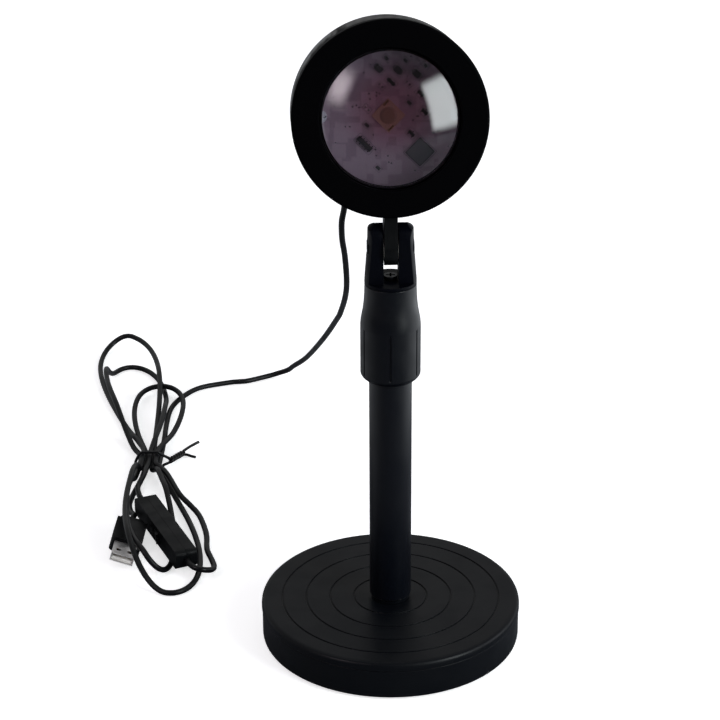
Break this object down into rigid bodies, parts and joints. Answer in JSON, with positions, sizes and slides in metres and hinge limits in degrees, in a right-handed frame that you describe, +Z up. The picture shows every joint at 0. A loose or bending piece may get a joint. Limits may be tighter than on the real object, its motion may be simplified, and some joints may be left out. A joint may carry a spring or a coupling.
{
  "type": "projection lamp",
  "caption": "Telescopic desk projection lamp: round weighted base, twist-lock pole, tilting round head with a domed lens, and a thin cord in a tied hank with an in-line switch and a USB plug.",
  "frame": {"origin": "centre of the base's underside, on the table", "axes": "+Z up along the pole; the lamp faces -Y, +X to its left hand as it looks out"},
  "size_m": [0.2382, 0.389, 0.3066],
  "materials": {
    "base_moulding": "fine matt moulding",
    "base_weight": "rough cast",
    "foot_pad": "matt foam rubber",
    "zinc_steel": "zinc plated",
    "stand_tube": "satin black powder coat",
    "lock_moulding": "matt moulding",
    "collet": "smooth nylon",
    "guide_bush": "natural acetal",
    "fork": "satin black coat",
    "friction_washers": "natural fibre-filled plastic",
    "head_shell": "satin black coat",
    "front_ring": "matt moulding",
    "lens": "polished glass",
    "lens_gasket": "matt silicone rubber",
    "led_board": "pale solder mask",
    "led": "yellow phosphor under clear resin",
    "board_parts": "moulded chip cases",
    "heat_sink": "die-cast, bare",
    "cord_jacket": "satin vinyl jacket",
    "tie_wire": "vinyl-coated wire",
    "switch_case": "fine matt moulding",
    "rocker": "smooth moulding",
    "plug_grip": "soft vinyl overmould",
    "plug_shell": "nickel plated, folded",
    "plug_insulator": "white moulding",
    "plug_contacts": "gilt strips"
  },
  "bodies": {
    "base": {"base_shell": "base_moulding", "base_lid": "base_moulding", "base_weight": "base_weight", "foot_pad": "foot_pad", "base_washer": "zinc_steel", "base_bolt": "zinc_steel", "foot_plug": "base_moulding", "outer_tube": "stand_tube", "thread_sleeve": "lock_moulding", "lock_collet": "collet", "hank": "cord_jacket", "tail": "cord_jacket", "twist_tie": "tie_wire", "switch_front": "switch_case", "switch_back": "switch_case", "plug_body": "plug_grip", "plug_shell": "plug_shell", "plug_insulator": "plug_insulator", "plug_contacts": "plug_contacts"},
    "collar": {"lock_collar": "lock_moulding"},
    "mast": {"inner_tube": "stand_tube", "guide_bush": "guide_bush", "tube_plug": "stand_tube", "swivel_screw": "zinc_steel", "cord_drop": "cord_jacket"},
    "yoke": {"fork": "fork", "pivot_screw": "fork", "pivot_nut": "fork", "friction_washers": "friction_washers", "cord_mid": "cord_jacket"},
    "head": {"barrel": "head_shell", "front_ring": "front_ring", "lens": "lens", "lens_gasket": "lens_gasket", "lens_retainer": "front_ring", "led_board": "led_board", "led": "led", "board_parts": "board_parts", "heat_sink": "heat_sink", "board_screws": "zinc_steel", "rear_cover": "head_shell", "cover_screws": "head_shell", "cable_gland": "cord_jacket", "cord_head": "cord_jacket"},
    "switch_rocker": {"rocker": "rocker"}
  },
  "joints": [
    {"name": "collar_twist", "type": "hinge", "parent": "base", "child": "collar", "pos_m": [0, 0, 0.15], "axis": [0, 0, 1], "range_deg": [0, 120]},
    {"name": "mast_slide", "type": "slide", "parent": "base", "child": "mast", "axis": [0, 0, 1], "range_m": [0, 0.09], "deforming": ["cord_drop"]},
    {"name": "fork_turn", "type": "hinge", "parent": "mast", "child": "yoke", "pos_m": [0, 0, 0.1858], "axis": [0, 0, 1], "range_deg": [-90, 90], "deforming": ["cord_mid"]},
    {"name": "head_tilt", "type": "hinge", "parent": "yoke", "child": "head", "pos_m": [0, 0, 0.203], "axis": [0.9986, 0.0523, 0], "range_deg": [-60, 45], "deforming": ["cord_head"]},
    {"name": "rocker_press", "type": "hinge", "parent": "base", "child": "switch_rocker", "pos_m": [-0.12024, 0.08306, 0.0081], "axis": [0, 0, 1], "range_deg": [0, 14]}
  ]
}
